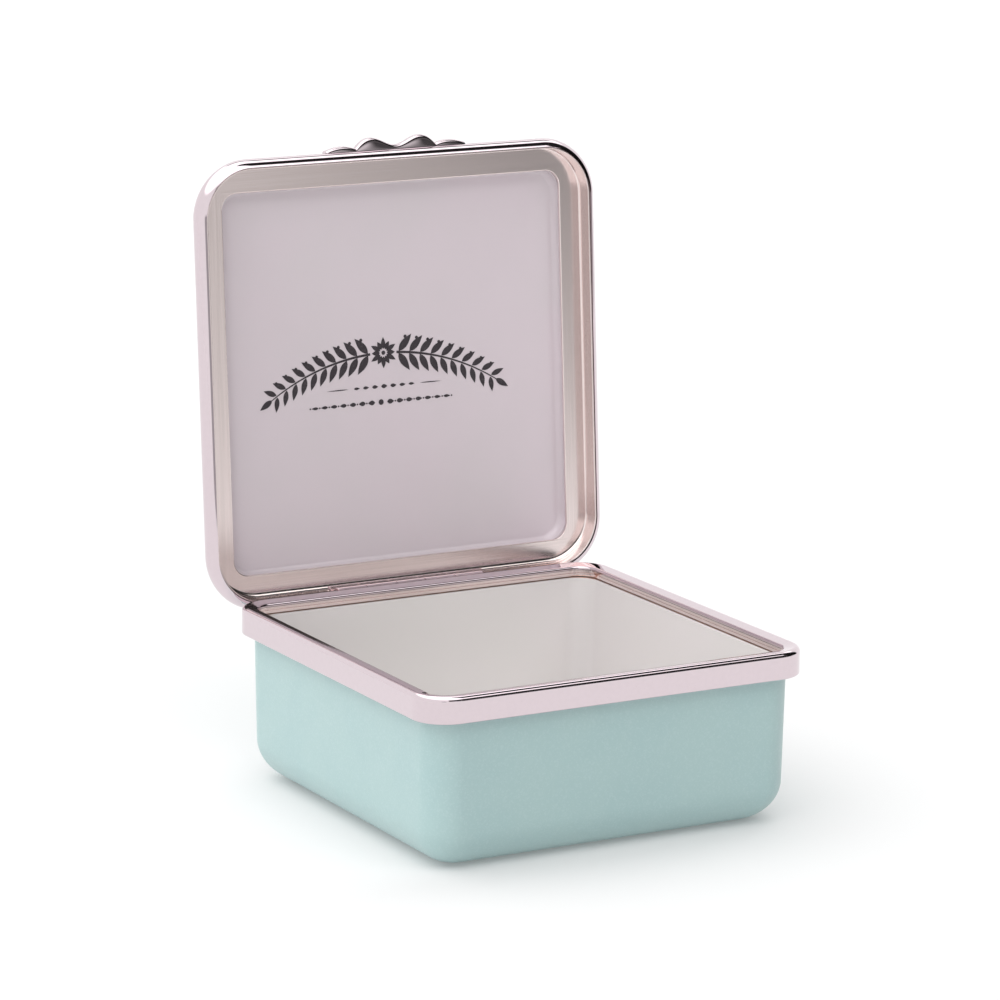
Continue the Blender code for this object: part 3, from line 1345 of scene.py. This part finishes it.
@dataclass
class Studio:
    """White paper, a bright tent with a few dark flags, and the camera."""

    eye: Point = (-301.077, -529.862, 179.808)
    heading_deg: float = 28.065
    dip_deg: float = 12.657
    roll_deg: float = 0.302
    lens: float = 161.57
    shift: float = 0.100
    floor_half: float = 0.60
    floor_front: float = 0.30
    strength: float = 1.08
    overhead: float = 1.95
    backdrop: float = 1.3
    flags: tuple[Flag, ...] = (
        Flag(8.0, 45.0, -9.0, 6.0, 0.72, 3.0, 1.5),
        Flag(26.9, 47.0, -3.0, 8.0, 0.10, 2.6, 1.1),
        Flag(-38.0, -24.0, -16.0, 5.0, 0.42, 2.0, 2.0),
        Flag(-16.0, 47.0, 7.0, 33.0, 0.015),
        Flag(46.0, 95.0, -6.0, 80.0, 0.01, 3.0, 3.0),
        Flag(120.0, 176.0, 43.5, 53.0, 0.06, 3.0, 2.0),
    )

    def build_floor(self) -> None:
        """Lays the paper under the box."""
        mesh = bpy.data.meshes.new("studio_floor")
        back, side, front = self.floor_half, self.floor_half, self.floor_front
        corners = [(-side, -front, 0.0), (side, -front, 0.0), (side, back, 0.0), (-side, back, 0.0)]
        mesh.from_pydata([Vector(corner) for corner in corners], [], [(0, 1, 2, 3)])
        mesh.materials.append(PAPER.material())
        floor = bpy.data.objects.new("studio_floor", mesh)
        bpy.context.scene.collection.objects.link(floor)
        floor.location.z = -0.02 * MM

    def build_tent(self) -> None:
        """Lights the scene from a bright tent all round, darkened where the flags stand."""
        world = bpy.data.worlds.new("studio_tent")
        world.use_nodes = True
        bpy.context.scene.world = world
        graph = Graph(world.node_tree)
        x, y, z = graph.axes(graph.node("ShaderNodeTexCoord").outputs["Generated"])
        to_degrees = 180.0 / math.pi
        compass = x.angle_against(0.0 - y) * to_degrees
        height = z.arcsine() * to_degrees
        bright = height.rising(34.0, 42.0) * (self.overhead - self.strength) + self.strength
        for flag in self.flags:
            mask = compass.between(flag.left, flag.right, flag.side_edge)
            mask = mask * height.between(flag.low, flag.high, flag.height_edge)
            bright = bright * (1.0 - mask * (1.0 - flag.brightness))
        seen = Value(graph, graph.node("ShaderNodeLightPath").outputs["Is Camera Ray"])
        level = bright * (1.0 - seen) + seen * self.backdrop
        sockets = {"Color": (1.0, 1.0, 1.0), "Strength": level}
        graph.finish_with("ShaderNodeBackground", "ShaderNodeOutputWorld", sockets)

    def build_camera(self) -> None:
        """Sets up the camera."""
        data = bpy.data.cameras.new("studio_camera")
        data.lens = self.lens
        data.sensor_width = 36.0
        data.shift_x = self.shift
        data.clip_start = 0.05
        data.clip_end = 20.0
        camera = bpy.data.objects.new("studio_camera", data)
        bpy.context.scene.collection.objects.link(camera)
        heading, dip = math.radians(self.heading_deg), math.radians(self.dip_deg)
        turn = Matrix.Rotation(-heading, 4, "Z") @ Matrix.Rotation(math.pi / 2.0 - dip, 4, "X")
        turn = turn @ Matrix.Rotation(math.radians(self.roll_deg), 4, "Z")
        camera.matrix_world = Matrix.Translation(Vector(self.eye) * MM) @ turn
        bpy.context.scene.camera = camera

    def build(self) -> None:
        """Sets up the whole studio."""
        self.build_floor()
        self.build_tent()
        self.build_camera()
        bpy.context.scene.view_settings.view_transform = "Standard"
        log.info("studio ready")


# Assembly


def opening_turn() -> tuple[Matrix, Vector]:
    """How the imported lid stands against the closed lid.

    Returns:
        The turn about the hinge, and the hinge's place in metres.
    """
    joint = frame["joints"][0]
    pivot = Vector(joint["pos_m"])
    swing = Matrix.Rotation(-math.radians(joint["range_deg"][1]), 4, Vector(joint["axis"]))
    return Matrix.Translation(pivot) @ swing @ Matrix.Translation(-pivot), pivot


def dress_copper(names: Sequence[str]) -> None:
    """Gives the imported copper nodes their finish.

    Args:
        names: The nodes.
    """
    for name in names:
        node = frame["nodes"][name]
        node.data.materials.clear()
        node.data.materials.append(COPPER.material())
        log.info("%s: %s, as packed", name, COPPER.name)


def main() -> None:
    """Builds the box to the imported part's sizes, then the studio."""
    logging.basicConfig(level=logging.INFO, format="%(message)s")
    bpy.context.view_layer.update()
    opened, pivot = opening_turn()
    shop = Workshop(opened)
    _, tray_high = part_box("base_outer_enamel")
    band_low, band_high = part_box("base_mount_band")
    _, bead_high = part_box("lid_mount_bead")
    pan = LidPan()
    BaseTray(half_top=tray_high.x / MM, top=tray_high.z / MM).build(shop)
    RimBand(half=band_high.x / MM, low=band_low.z / MM, crest=band_high.z / MM).build(shop)
    mount = LidMount(half=bead_high.x / MM)
    mount.build(shop)
    pan.build(shop)
    ThumbPiece().build(shop)
    Garland(pan).build(shop)
    Hinge(pivot.y / MM, pivot.z / MM, band_high.x / MM, mount.slot_top).build(shop)
    dress_copper(("base_copper_tray", "lid_copper_plate"))
    Studio().build()
    bpy.context.view_layer.update()


if __name__ == "__main__":
    main()
